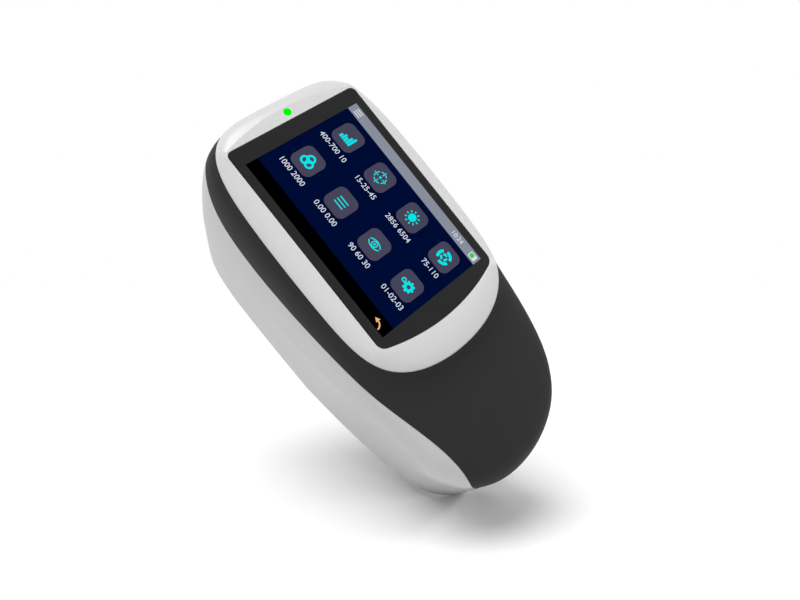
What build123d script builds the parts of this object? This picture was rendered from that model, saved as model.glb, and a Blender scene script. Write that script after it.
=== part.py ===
from build123d import *
from math import copysign, cos, exp, pi, radians, sin, sqrt
import os

os.makedirs("parts", exist_ok=True)

# Handheld multi-angle spectrophotometer. Millimetres, +Z up, +X towards the nose, origin under the middle of
# the body on the surface it stands on. "Depth" is measured down from the face of the display, which leans
# towards the nose, and "along" is measured from the display's centre towards the nose.

# Overall form
display_tilt = 5.0
display_height = 100.8
display_setback = 24.1
body_half_width = 38.5
tail_reach = 60.0
nose_root = 106.0
nose_rake = 0.2
shoulder_set = 50.0
shoulder_drop = 7.8
brow_draw = 3.6
foot_draw = 3.6
side_bow = 0.06
tail_power = 5.0
outline_steps = 8
form_depths = (8.0, 11.0, 14.0, 18.0, 24.0, 34.0, 50.0, 70.0, 90.0, 112.0)

# Walls
bezel_height = 5.4
bezel_joint = 0.2
skin = 2.0
panel_gap = 0.1
housing_wall = 2.0
parting_gap = 0.15
edge_height = 1.0
base_thickness = 3.0
base_gap = 0.2

# Grip scoops in the side panels: hollow from top to bottom, bowed along the body
scoop_half_width = 36.6
scoop_hollow = 440.0
scoop_turn = 560.0
scoop_along = -3.0
scoop_below = 90.0

# Parting between the dark housing and the pale side panels, drawn looking down at the side
parting_view = 45.0
parting_points = (
    (-82.0, -28.5),
    (-62.0, -29.5),
    (-51.0, -32.4),
    (-38.0, -40.2),
    (-19.0, -43.6),
    (5.0, -42.6),
    (31.0, -38.2),
    (51.0, -34.3),
    (73.0, -30.9),
    (87.0, -30.5),
    (97.0, -33.0),
    (108.0, -43.0),
    (118.5, -57.8),
    (132.0, -79.0),
)
parting_floor = -170.0
spine_half_width = 16.0
spine_end = -60.0
tongue_half_width = 4.0

# Display
glass_rear = -43.0
glass_front_corner = 39.5
glass_front_middle = 44.7
glass_half_width = 27.7
glass_rear_radius = 2.0
glass_front_radius = 3.5
glass_thickness = 1.0
glass_gap = 0.15
tape_thickness = 0.1
tape_margin = 0.3
ledge_width = 1.3
lcd_rear = -41.0
lcd_front = 38.0
lcd_thickness = 3.0
lcd_gap = 0.3
lcd_corner = 1.0
cushion_margin = 6.0
cushion_front = 24.0
bezel_top_half_width = 28.9
bezel_top_tail = 48.2
bezel_top_nose = 45.8
bezel_top_bow = 0.02
bezel_top_tail_power = 9.0
bezel_top_nose_power = 12.0
bezel_levels = (1.0, 0.6, 0.3, 0.1, 0.0)
bezel_screw_places = ((-46.0, 17.0), (48.0, 14.0))
bezel_screw_bite = 3.0

# Flat cable from the display to the main board
ribbon_half_width = 8.0
ribbon_thickness = 0.25
ribbon_start = 27.0
ribbon_bend = 37.1
ribbon_radius = 0.8
ribbon_end = 34.4
ribbon_slot = 2.0

# Indicator lamp behind the display
led_along = -46.0
led_radius = 1.55
led_flange_radius = 2.1
led_flange = 1.0
led_lens_length = 3.6
led_clearance = 0.05
led_board_length = 6.0
led_board_width = 10.0
led_board_thickness = 1.0
led_pocket_gap = 0.3
led_chip = 1.6
led_chip_height = 0.8

# Main board, hung from bosses under the deck
board_drop = 5.0
board_thickness = 1.6
board_rear = -46.0
board_front = 44.0
board_half_width = 27.0
board_corner = 3.0
board_boss_radius = 3.0
board_screw_inset = 5.0
board_screw_bite = 6.0
chip_height = 1.4
chips = ((0.0, 0.0, 14.0), (20.0, 11.0, 9.0), (19.0, -11.0, 10.0), (-22.0, -12.0, 11.0))
connector_length = 4.0
connector_height = 1.8
beeper_along = -22.0
beeper_across = 12.0
beeper_radius = 6.0
beeper_height = 4.5

# Keys, each on a side-pushed switch at the board's edge
key_gap = 0.3
key_proud = 0.6
key_flange = 1.0
key_lip = 1.0
key_edge = 0.5
test_key_along = -6.0
test_key_length = 22.0
test_key_width = 6.0
test_key_travel = 0.5
power_key_across = 10.0
power_key_length = 10.0
power_key_width = 5.0
power_key_travel = 0.4
plunger_radius = 1.2
plunger_bite = 1.0
switch_seat = 3.0
switch_height = 3.6
switch_half_width = 3.0

# Charging and data port
port_across = -9.0
port_width = 9.0
port_height = 3.2
port_length = 10.0
port_recess = 0.9
port_wall = 0.4
port_depth = 6.0
port_gap = 0.3
port_tongue = 0.7
port_tongue_width = 6.7
port_tongue_length = 4.8
port_tab_half_width = 7.0
port_tab_gap = 0.7

# Measuring optics
aperture_along = 46.0
optic_radius = 42.0
optic_half_width = 10.0
optic_front = 30.0
optic_screw_reach = 22.0
optic_screw_across = 7.0
optic_screw_bite = 4.0
chamber_radius = 14.0
chamber_wall = 2.5
ray_radius = 2.0
lens_radius = 2.6
lens_gap = 0.05
lens_thickness = 1.6
lamp_angle = -45.0
receiver_angles = (30.0, 20.0, 0.0, -30.0, -65.0)
sensor_radius = 2.9
sensor_length = 6.0
sensor_sink = 3.9
sensor_board_size = 7.4
sensor_board_thickness = 1.0
lamp_radius = 3.6
lamp_length = 14.0
lamp_fin_radius = 5.0
lamp_fin = 1.2
lamp_fins = 4
lamp_fin_pitch = 2.3

# Aperture ring in the base
ring_mouth_radius = 6.0
ring_lip = 0.3
ring_bevel_height = 2.6
ring_wall = 1.0
ring_radius = 13.2
ring_flange_radius = 15.6
ring_flange = 1.2
ring_gap = 0.1
gasket_width = 0.7
gasket_height = 1.2
window_radius = 14.6
window_thickness = 1.0

# Battery
battery_length = 66.0
battery_half_width = 18.0
battery_height = 19.0
battery_rear = -80.0
battery_corner = 3.0
tray_wall = 1.4
tray_height = 7.0
tray_gap = 0.3
strap_thickness = 0.8
strap_width = 10.0
strap_foot = 6.5
strap_bend = 1.0
strap_screw_length = 2.4

# Fasteners and feet
screw_radius = 1.2
screw_head_radius = 2.3
screw_head_height = 1.5
screw_head_sink = 0.2
screw_tip_room = 0.2
screw_socket_radius = 1.0
screw_socket_depth = 0.8
screw_clearance = 0.05
head_clearance = 0.3
boss_radius = 3.0
boss_height = 13.0
boss_rib = 1.6
boss_rib_bite = 1.6
base_screw_inset = 3.6
base_screw_stations = (-68.0, -4.0, 62.0)
base_screw_length = 9.0
foot_radius = 4.5
foot_thickness = 1.6
foot_stations = ((-74.0, 14.0), (8.0, 22.0))

tilt = radians(display_tilt)
face = Plane(
    origin=(-display_setback, 0, display_height),
    x_dir=(cos(tilt), 0, -sin(tilt)),
    z_dir=(sin(tilt), 0, cos(tilt)),
)
brow_depth = bezel_height + bezel_joint
inner_inset = skin + panel_gap + housing_wall
seat_inset = skin + panel_gap
deck_under = brow_depth + inner_inset
base_top = edge_height + base_thickness


def on_face(along, across, depth):
    """Row position of a point given by the display's own directions."""
    return face.from_local_coords(Vector(along, across, -depth))


def outline(half_width, tail, nose, tail_power, nose_power, bow):
    """Plan outline: a squarish tail, slightly bowed sides and a rounded nose."""
    half = []
    for step in range(outline_steps):
        angle = pi / 2 * step / outline_steps
        back = cos(angle) ** (2 / tail_power)
        half.append((-tail * back, half_width * (1 - bow * back**2) * sin(angle) ** (2 / tail_power)))
    for step in range(outline_steps + 1):
        ahead = sin(pi / 2 * step / outline_steps)
        width = half_width * (1 - bow * ahead**2) * sqrt(max(0.0, 1 - ahead**nose_power))
        half.append((nose * ahead, width))
    return half + [(along, -across) for along, across in half[-2:0:-1]]


def body_sizes(depth):
    """Half width, tail, nose and nose fullness of the outer form at a depth."""
    below = max(depth - brow_depth, 0.0)
    half_width = body_half_width - brow_draw * exp(-below / 4.8) - foot_draw * (max(below - 35, 0) / 66) ** 1.3
    tail = tail_reach - 6.4 * exp(-below / 20) - 2 * (max(below - 55, 0) / 46) ** 2
    nose = nose_root + nose_rake * depth - shoulder_set / (1 + (below / shoulder_drop) ** 3)
    nose_power = 4.2 + 3.8 * exp(-(((below - 14.5) / 18) ** 2))
    return half_width, tail, nose, nose_power


def body_outline(depth, inset):
    half_width, tail, nose, nose_power = body_sizes(depth - inset)
    return outline(half_width - inset, tail - inset, nose - inset, tail_power, nose_power, side_bow)


def body_form(inset, scooped=True):
    """The housing's outer form, drawn in on every side by inset, with both grip scoops."""
    with BuildPart() as form:
        for depth in (brow_depth,) + form_depths:
            with BuildSketch(face.offset(-depth - inset)):
                with BuildLine():
                    Spline(*body_outline(depth + inset, inset), periodic=True)
                make_face()
        loft()
        if scooped:
            for side in (-1, 1):
                middle = on_face(scoop_along, side * (scoop_half_width - scoop_turn), scoop_below)
                with Locations(Plane(origin=middle, x_dir=face.x_dir, z_dir=face.z_dir)):
                    Torus(scoop_turn + scoop_hollow, scoop_hollow + inset, mode=Mode.SUBTRACT)
    return form.part


def side_of(along, depth, inset):
    """Half width of the form at a place along the body and a depth."""
    half_width, tail, nose, nose_power = body_sizes(depth - inset)
    if along < 0:
        share = min(-along / (tail - inset), 1.0)
        width = (1 - share**tail_power) ** (1 / tail_power)
    else:
        share = min(along / (nose - inset), 1.0)
        width = sqrt(1 - share**nose_power)
    return (half_width - inset) * (1 - side_bow * share**2) * width


def rear_of(across, depth, inset):
    """How far back from the display's centre the form reaches at a place across it."""
    half_width, tail, _, _ = body_sizes(depth - inset)
    share = across / ((half_width - inset) * (1 - side_bow))
    return (tail - inset) * (1 - share**tail_power) ** (1 / tail_power)


outer_form = body_form(0)
skin_form = body_form(skin)
seat_form = body_form(seat_inset)
cavity_form = body_form(inner_inset)


def parting_region(side, gap):
    """Everything that belongs to one side panel, grown by gap."""
    view = radians(parting_view)
    across = face.y_dir * (side * sin(view))
    plane = Plane(origin=face.origin, x_dir=face.x_dir, z_dir=across + face.z_dir * cos(view))
    with BuildPart() as region:
        with BuildSketch(plane):
            with BuildLine():
                upper = Spline(*[(x + gap, -side * (y + gap)) for x, y in parting_points])
                Polyline(
                    upper @ 1,
                    (parting_points[-1][0] + gap, -side * parting_floor),
                    (parting_points[0][0] + gap, -side * parting_floor),
                    upper @ 0,
                )
            make_face()
        extrude(amount=200, both=True)
        with BuildSketch(Plane.XY):
            with Locations((0, side * (tongue_half_width - gap + 50))):
                Rectangle(400, 100)
        extrude(amount=300, both=True, mode=Mode.INTERSECT)
        with BuildSketch(Plane.XY):
            with Locations((spine_end - 50 - gap, 0)):
                Rectangle(100, 2 * (spine_half_width - gap))
        extrude(amount=300, both=True, mode=Mode.SUBTRACT)
    return region.part


def panel_seat(side):
    """What the housing gives up so that a side panel can lie flush in it."""
    region = parting_region(side, parting_gap)
    with BuildPart() as seat:
        add(region)
        add(seat_form, mode=Mode.SUBTRACT)
    return seat.part


def save(piece, name):
    piece.label = name
    export_step(piece, "parts/" + name + ".step")


def side_panel(side, name):
    region = parting_region(side, 0)
    with BuildPart() as panel:
        add(outer_form)
        add(skin_form, mode=Mode.SUBTRACT)
        add(region, mode=Mode.INTERSECT)
        split(bisect_by=Plane.XY.offset(edge_height), keep=Keep.TOP)
    save(panel.part, name)


side_panel(-1, "side_panel_right")
side_panel(1, "side_panel_left")
right_seat = panel_seat(-1)
left_seat = panel_seat(1)

# Levels below the display's face, from the glass down to the main board
lcd_depth = glass_thickness + lcd_thickness
lcd_half_width = glass_half_width - ledge_width - lcd_gap
led_board_depth = brow_depth - led_board_thickness
board_depth = deck_under + board_drop
board_under = board_depth + board_thickness
key_depth = board_under + switch_height / 2
port_level = board_under + port_height / 2

# Each key slides along its own plane's Z, which points out of the body
test_plane = Plane(origin=on_face(test_key_along, 0, key_depth), x_dir=face.x_dir, z_dir=face.y_dir)
power_plane = Plane(origin=on_face(0, power_key_across, key_depth), x_dir=face.y_dir, z_dir=-face.x_dir)
port_plane = Plane(origin=on_face(0, port_across, port_level), x_dir=face.y_dir, z_dir=-face.x_dir)
test_key_rear = test_key_along - test_key_length / 2 - key_lip
power_key_outer = power_key_across + power_key_length / 2 + key_lip
test_wall = side_of(test_key_rear, key_depth - test_key_width / 2 - key_lip, inner_inset)
power_wall = rear_of(power_key_outer, key_depth - power_key_width / 2 - key_lip, inner_inset)
test_flange = test_wall - key_gap - key_flange
power_flange = power_wall - key_gap - key_flange
test_face = side_of(test_key_along, key_depth, 0) + key_proud
power_face = rear_of(power_key_across, key_depth, 0) + key_proud
test_switch_face = test_flange - test_key_travel - key_gap
power_switch_face = power_flange - power_key_travel - key_gap
port_mouth = rear_of(-port_across, port_level, 0) - port_recess
board_tab_end = rear_of(port_tab_half_width - port_across, board_depth, inner_inset) - port_tab_gap

# Places of the fasteners and feet
head_seat = edge_height + screw_head_sink + screw_head_height
screw_hole = screw_radius + screw_clearance
base_bosses = []
for station in base_screw_stations:
    local = face.to_local_coords(Vector(station, 0, base_top))
    reach = side_of(local.X, -local.Z, inner_inset) - base_screw_inset
    base_bosses += [(station, -reach), (station, reach)]
board_bosses = []
for along in (board_rear + board_screw_inset, board_front - board_screw_inset):
    for across in (board_half_width - board_screw_inset, board_screw_inset - board_half_width):
        board_bosses.append((along, across))
bezel_screws_at = []
for along, across in bezel_screw_places:
    bezel_screws_at += [(along, -across), (along, across)]
optic_screws_at = []
for reach in (-optic_screw_reach, optic_screw_reach):
    for across in (-optic_screw_across, optic_screw_across):
        optic_screws_at.append((aperture_along + reach, across))
battery_middle = battery_rear + battery_length / 2
strap_leg = battery_half_width + tray_gap + strap_thickness
strap_reach = strap_leg + strap_foot
strap_screws_at = [(battery_middle, side * (strap_leg + strap_foot / 2)) for side in (-1, 1)]
feet_at = []
for along, across in foot_stations:
    feet_at += [(along, -across), (along, across)]


def standing(places, height):
    """Planes facing up at places on the base."""
    return [Plane(origin=(x, y, height)) for x, y in places]


def under_face(places, depth):
    """Planes facing the display at a depth below its face."""
    return [Plane(origin=on_face(x, y, depth), x_dir=face.x_dir, z_dir=face.z_dir) for x, y in places]


def screws(seats, length, name):
    """Socket screws, each with its head under the plane that it seats on."""
    with BuildPart() as fasteners:
        with Locations(*seats):
            Cylinder(screw_radius, length, align=(Align.CENTER, Align.CENTER, Align.MIN))
            Cylinder(screw_head_radius, screw_head_height, align=(Align.CENTER, Align.CENTER, Align.MAX))
        with BuildSketch(*[seat.offset(-screw_head_height) for seat in seats]):
            RegularPolygon(screw_socket_radius, 6)
        extrude(amount=screw_socket_depth, mode=Mode.SUBTRACT)
    save(fasteners.part, name)


with BuildPart() as main_housing:
    add(outer_form)
    add(cavity_form, mode=Mode.SUBTRACT)
    add(right_seat, mode=Mode.SUBTRACT)
    add(left_seat, mode=Mode.SUBTRACT)
    with Locations(*[(x, y, base_top) for x, y in base_bosses]):
        Cylinder(boss_radius, boss_height, align=(Align.CENTER, Align.CENTER, Align.MIN))
    with BuildSketch(Plane.XY.offset(base_top)):
        for x, y in base_bosses:
            with Locations((x, y + copysign(base_screw_inset + boss_rib_bite, y) / 2)):
                Rectangle(boss_rib, base_screw_inset + boss_rib_bite)
    extrude(amount=boss_height)
    with BuildSketch(face.offset(-board_depth)):
        with Locations(*board_bosses):
            Circle(board_boss_radius)
    extrude(amount=board_drop + housing_wall)
    split(bisect_by=Plane.XY.offset(edge_height), keep=Keep.TOP)
    with BuildSketch(Plane.XY.offset(base_top)):
        with Locations(*base_bosses):
            Circle(screw_hole)
    extrude(amount=base_screw_length + head_seat - base_top + screw_tip_room, mode=Mode.SUBTRACT)
    with BuildSketch(face.offset(-board_depth)):
        with Locations(*board_bosses):
            Circle(screw_hole)
    extrude(amount=board_screw_bite + screw_tip_room, mode=Mode.SUBTRACT)
    with BuildSketch(face.offset(-deck_under)):
        with Locations(*bezel_screws_at):
            Circle(screw_hole)
        with Locations((ribbon_bend, 0)):
            SlotOverall(2 * ribbon_half_width + 2 * ribbon_slot, ribbon_slot, rotation=90)
    extrude(amount=inner_inset, mode=Mode.SUBTRACT)
    with BuildSketch(test_plane.offset(test_flange)):
        SlotOverall(test_key_length + 2 * key_gap, test_key_width + 2 * key_gap)
    extrude(amount=test_face - test_flange, mode=Mode.SUBTRACT)
    with BuildSketch(power_plane.offset(power_flange)):
        SlotOverall(power_key_length + 2 * key_gap, power_key_width + 2 * key_gap)
    extrude(amount=power_face - power_flange, mode=Mode.SUBTRACT)
    with BuildSketch(port_plane.offset(power_flange)):
        SlotOverall(port_width + 2 * port_gap, port_height + 2 * port_gap)
    extrude(amount=power_face - power_flange, mode=Mode.SUBTRACT)
save(main_housing.part, "main_housing")


def bezel_section(level):
    """Outline of the bezel at a share of its height: a quarter ellipse from its rim to its top edge."""
    share = 1 - sqrt(1 - (1 - level) ** 2)
    half_width, tail, nose, nose_power = body_sizes(brow_depth)
    rim = (half_width, tail, nose, tail_power, nose_power, side_bow)
    top = (
        bezel_top_half_width,
        bezel_top_tail,
        bezel_top_nose,
        bezel_top_tail_power,
        bezel_top_nose_power,
        bezel_top_bow,
    )
    return outline(*[low + share * (high - low) for low, high in zip(rim, top)])


def glass_outline(gap, depth):
    """Cover glass: straight at the rear and sides, bowed towards the nose."""
    front = glass_front_corner + gap
    rear = glass_rear - gap
    edge = glass_half_width + gap
    with BuildSketch(face.offset(-depth)) as sketch:
        with BuildLine():
            Polyline((front, edge), (rear, edge), (rear, -edge), (front, -edge))
            ThreePointArc((front, -edge), (glass_front_middle + gap, 0), (front, edge))
        make_face()
        fillet(sketch.vertices().group_by(Axis.X)[0], radius=glass_rear_radius + gap)
        fillet(sketch.vertices().group_by(Axis.X)[-1], radius=glass_front_radius + gap)
    return sketch.sketch


def lcd_outline(gap, depth):
    with BuildSketch(face.offset(-depth)) as sketch:
        with Locations(((lcd_rear + lcd_front) / 2, 0)):
            RectangleRounded(lcd_front - lcd_rear + 2 * gap, 2 * (lcd_half_width + gap), lcd_corner + gap)
    return sketch.sketch


glass_pocket = glass_outline(glass_gap, 0)
lcd_opening = lcd_outline(lcd_gap, 0)
with BuildPart() as top_bezel:
    for level in bezel_levels:
        with BuildSketch(face.offset(-bezel_height * level)):
            with BuildLine():
                Spline(*bezel_section(level), periodic=True)
            make_face()
    loft()
    extrude(glass_pocket, amount=-glass_thickness - tape_thickness, mode=Mode.SUBTRACT)
    extrude(lcd_opening, amount=-bezel_height, mode=Mode.SUBTRACT)
    with BuildSketch(face):
        with Locations((led_along, 0)):
            Circle(led_radius + led_clearance)
    extrude(amount=-bezel_height, mode=Mode.SUBTRACT)
    with BuildSketch(face.offset(-led_lens_length)):
        with Locations((led_along, 0)):
            Circle(led_flange_radius + led_clearance)
    extrude(amount=led_flange, mode=Mode.SUBTRACT)
    with BuildSketch(face.offset(-bezel_height)):
        with Locations((led_along, 0)):
            Rectangle(led_board_length + 2 * led_pocket_gap, led_board_width + 2 * led_pocket_gap)
    extrude(amount=bezel_height - led_lens_length, mode=Mode.SUBTRACT)
    with BuildSketch(face.offset(-bezel_height)):
        with Locations(*bezel_screws_at):
            Circle(screw_hole)
    extrude(amount=bezel_screw_bite + screw_tip_room, mode=Mode.SUBTRACT)
save(top_bezel.part, "top_bezel")
screws(under_face(bezel_screws_at, deck_under), deck_under - bezel_height + bezel_screw_bite, "bezel_screws")

glass_shape = glass_outline(0, glass_thickness)
with BuildPart() as display_glass:
    extrude(glass_shape, amount=glass_thickness)
save(display_glass.part, "display_glass")

tape_shape = glass_outline(-tape_margin, glass_thickness)
tape_opening = lcd_outline(lcd_gap + tape_thickness, glass_thickness)
with BuildPart() as glass_tape:
    extrude(tape_shape, amount=-tape_thickness)
    extrude(tape_opening, amount=-tape_thickness, mode=Mode.SUBTRACT)
save(glass_tape.part, "glass_tape")

lcd_shape = lcd_outline(0, lcd_depth)
with BuildPart() as lcd_module:
    extrude(lcd_shape, amount=lcd_thickness)
save(lcd_module.part, "lcd_module")

cushion_rear = lcd_rear + cushion_margin
with BuildPart() as lcd_cushion:
    with BuildSketch(face.offset(-brow_depth)):
        with Locations(((cushion_rear + cushion_front) / 2, 0)):
            Rectangle(cushion_front - cushion_rear, 2 * (lcd_half_width - cushion_margin))
    extrude(amount=brow_depth - lcd_depth)
save(lcd_cushion.part, "lcd_cushion")

cable_side = Plane(origin=face.origin + face.y_dir * ribbon_half_width, x_dir=face.x_dir, z_dir=-face.y_dir)
cable_top = -lcd_depth
cable_plug = -board_depth + connector_height / 2
bend_outer = ribbon_bend + ribbon_thickness
with BuildPart() as display_ribbon:
    with BuildSketch(cable_side) as cable:
        with BuildLine():
            Polyline(
                (ribbon_start, cable_top),
                (bend_outer, cable_top),
                (bend_outer, cable_plug - ribbon_thickness),
                (ribbon_end, cable_plug - ribbon_thickness),
                (ribbon_end, cable_plug),
                (ribbon_bend, cable_plug),
                (ribbon_bend, cable_top - ribbon_thickness),
                (ribbon_start, cable_top - ribbon_thickness),
                close=True,
            )
        make_face()
        corners = cable.vertices().filter_by_position(Axis.X, ribbon_end + ribbon_thickness, bend_outer)
        fillet(corners.group_by(Axis.X)[-1], radius=ribbon_radius)
        fillet(corners.group_by(Axis.X)[0], radius=ribbon_radius - ribbon_thickness)
    extrude(amount=2 * ribbon_half_width)
save(display_ribbon.part, "display_ribbon")

with BuildPart() as led_lens:
    with BuildSketch(face.offset(-led_lens_length)):
        with Locations((led_along, 0)):
            Circle(led_radius)
    extrude(amount=led_lens_length)
    with BuildSketch(face.offset(-led_lens_length)):
        with Locations((led_along, 0)):
            Circle(led_flange_radius)
    extrude(amount=led_flange)
save(led_lens.part, "led_lens")

with BuildPart() as led_board:
    with BuildSketch(face.offset(-brow_depth)):
        with Locations((led_along, 0)):
            Rectangle(led_board_length, led_board_width)
    extrude(amount=led_board_thickness)
    with BuildSketch(face.offset(-led_board_depth)):
        with Locations((led_along, 0)):
            Rectangle(led_chip, led_chip)
    extrude(amount=led_chip_height)
save(led_board.part, "led_board")

with BuildPart() as main_board:
    with BuildSketch(face.offset(-board_depth)):
        with Locations(((board_rear + board_front) / 2, 0)):
            RectangleRounded(board_front - board_rear, 2 * board_half_width, board_corner)
        with Locations((board_rear, port_across)):
            Rectangle(2 * (board_tab_end + board_rear), 2 * port_tab_half_width)
        with Locations(*board_bosses):
            Circle(screw_hole, mode=Mode.SUBTRACT)
    extrude(amount=-board_thickness)
save(main_board.part, "main_board")
screws(under_face(board_bosses, board_under), board_thickness + board_screw_bite, "board_screws")

with BuildPart() as board_components:
    for along, across, size in chips:
        with BuildSketch(face.offset(-board_under)):
            with Locations((along, across)):
                Rectangle(size, size)
        extrude(amount=-chip_height)
    with BuildSketch(face.offset(-board_depth)):
        with Locations((ribbon_end - connector_length / 2, 0)):
            Rectangle(connector_length, 2 * (ribbon_half_width + ribbon_radius))
    extrude(amount=connector_height)
save(board_components.part, "board_components")

with BuildPart() as beeper:
    with BuildSketch(face.offset(-board_under)):
        with Locations((beeper_along, beeper_across)):
            Circle(beeper_radius)
    extrude(amount=-beeper_height)
    with BuildSketch(face.offset(-board_under - beeper_height)):
        with Locations((beeper_along, beeper_across)):
            Circle(beeper_radius / 6)
    extrude(amount=beeper_height / 2, mode=Mode.SUBTRACT)
save(beeper.part, "beeper")

with BuildPart() as usb_port:
    with BuildSketch(port_plane.offset(port_mouth)):
        SlotOverall(port_width, port_height)
    extrude(amount=-port_length)
    with BuildSketch(port_plane.offset(port_mouth)):
        SlotOverall(port_width - 2 * port_wall, port_height - 2 * port_wall)
    extrude(amount=-port_depth, mode=Mode.SUBTRACT)
    with BuildSketch(port_plane.offset(port_mouth - port_depth)):
        Rectangle(port_tongue_width, port_tongue)
    extrude(amount=port_tongue_length)
save(usb_port.part, "usb_port")


def side_switch(plane, rear, front, travel, name):
    """Side-pushed switch with a bore that takes the key's plunger."""
    with BuildPart() as switch:
        with BuildSketch(plane.offset(rear)):
            Rectangle(2 * switch_half_width, switch_height)
        extrude(amount=front - rear)
        with BuildSketch(plane.offset(front)):
            Circle(plunger_radius + key_gap)
        extrude(amount=-(plunger_bite + travel + key_gap), mode=Mode.SUBTRACT)
    save(switch.part, name)


def key(plane, flange, outer, length, width, travel, name):
    """Pill-shaped key with a flange behind the wall and a plunger into its switch."""
    with BuildPart() as cap:
        with BuildSketch(plane.offset(flange)):
            SlotOverall(length, width)
        extrude(amount=outer - flange)
        fillet(cap.edges().sort_by(Axis(plane.origin, plane.z_dir))[-4:], radius=key_edge)
        with BuildSketch(plane.offset(flange)):
            SlotOverall(length + 2 * key_lip, width + 2 * key_lip)
        extrude(amount=key_flange)
        with BuildSketch(plane.offset(flange)):
            Circle(plunger_radius)
        extrude(amount=-(key_gap + travel + plunger_bite))
    save(cap.part, name)


side_switch(test_plane, board_half_width - switch_seat, test_switch_face, test_key_travel, "test_switch")
side_switch(power_plane, -board_rear - switch_seat, power_switch_face, power_key_travel, "power_switch")
key(test_plane, test_flange, test_face, test_key_length, test_key_width, test_key_travel, "test_button")
key(power_plane, power_flange, power_face, power_key_length, power_key_width, power_key_travel, "power_button")

# Base, with the battery's tray
base_form = body_form(inner_inset + base_gap)
with BuildPart() as base_cover:
    add(base_form)
    split(bisect_by=Plane.XY.offset(edge_height), keep=Keep.TOP)
    split(bisect_by=Plane.XY.offset(base_top), keep=Keep.BOTTOM)
    with BuildSketch(Plane.XY.offset(base_top)):
        with Locations((battery_middle, 0)):
            RectangleRounded(
                battery_length + 2 * (tray_gap + tray_wall),
                2 * (battery_half_width + tray_gap + tray_wall),
                battery_corner + tray_gap + tray_wall,
            )
            RectangleRounded(
                battery_length + 2 * tray_gap,
                2 * (battery_half_width + tray_gap),
                battery_corner + tray_gap,
                mode=Mode.SUBTRACT,
            )
            Rectangle(strap_width + 2 * tray_gap, 4 * battery_half_width, mode=Mode.SUBTRACT)
    extrude(amount=tray_height)
    with BuildSketch(Plane.XY.offset(edge_height)):
        with Locations((aperture_along, 0)):
            Circle(ring_radius + ring_gap)
        with Locations(*base_bosses, *optic_screws_at):
            Circle(screw_hole)
    extrude(amount=base_thickness, mode=Mode.SUBTRACT)
    with BuildSketch(Plane.XY.offset(edge_height)):
        with Locations(*base_bosses, *optic_screws_at):
            Circle(screw_head_radius + head_clearance)
    extrude(amount=head_seat - edge_height, mode=Mode.SUBTRACT)
    with BuildSketch(Plane.XY.offset(edge_height)):
        with Locations(*feet_at):
            Circle(foot_radius)
    extrude(amount=foot_thickness - edge_height, mode=Mode.SUBTRACT)
    with BuildSketch(Plane.XY.offset(edge_height + gasket_height)):
        with Locations((aperture_along, 0)):
            Circle(ring_radius + gasket_width)
    extrude(amount=gasket_height, mode=Mode.SUBTRACT)
    with BuildSketch(Plane.XY.offset(base_top)):
        with Locations(*strap_screws_at):
            Circle(screw_hole)
    extrude(amount=-strap_screw_length - screw_tip_room, mode=Mode.SUBTRACT)
save(base_cover.part, "base_cover")
screws(standing(base_bosses, head_seat), base_screw_length, "base_screws")

with BuildPart() as foot_pads:
    with BuildSketch(Plane.XY):
        with Locations(*feet_at):
            Circle(foot_radius)
    extrude(amount=foot_thickness)
save(foot_pads.part, "foot_pads")

battery_top = base_top + battery_height
with BuildPart() as battery_pack:
    with BuildSketch(Plane.XY.offset(base_top)):
        with Locations((battery_middle, 0)):
            RectangleRounded(battery_length, 2 * battery_half_width, battery_corner)
    extrude(amount=battery_height)
save(battery_pack.part, "battery_pack")

strap_top = battery_top + strap_thickness
strap_inner = strap_leg - strap_thickness
with BuildPart() as battery_strap:
    with BuildSketch(Plane.YZ.offset(battery_middle)) as strap:
        with BuildLine():
            Polyline(
                (-strap_reach, base_top),
                (-strap_inner, base_top),
                (-strap_inner, battery_top),
                (strap_inner, battery_top),
                (strap_inner, base_top),
                (strap_reach, base_top),
                (strap_reach, base_top + strap_thickness),
                (strap_leg, base_top + strap_thickness),
                (strap_leg, strap_top),
                (-strap_leg, strap_top),
                (-strap_leg, base_top + strap_thickness),
                (-strap_reach, base_top + strap_thickness),
                close=True,
            )
        make_face()
        fillet(strap.vertices().group_by(Axis.Y)[-1], radius=strap_bend)
    extrude(amount=strap_width / 2, both=True)
    with BuildSketch(Plane.XY.offset(base_top)):
        with Locations(*strap_screws_at):
            Circle(screw_hole)
    extrude(amount=strap_thickness, mode=Mode.SUBTRACT)
save(battery_strap.part, "battery_strap")
strap_seats = [
    Plane(origin=(x, y, base_top + strap_thickness), x_dir=(1, 0, 0), z_dir=(0, 0, -1))
    for x, y in strap_screws_at
]
screws(strap_seats, strap_thickness + strap_screw_length, "strap_screws")

# Measuring optics: one lamp and five receivers looking at the aperture's centre
ring_top = base_top + ring_flange
window_top = ring_top + window_thickness
sensor_level = optic_radius - sensor_sink
lens_level = sensor_level - lens_thickness


def ray(angle):
    """Plane at the aperture's centre that faces along a ray, at an angle from the vertical."""
    lean = radians(angle)
    return Plane(origin=(aperture_along, 0, 0), x_dir=(cos(lean), 0, -sin(lean)), z_dir=(sin(lean), 0, cos(lean)))


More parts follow.
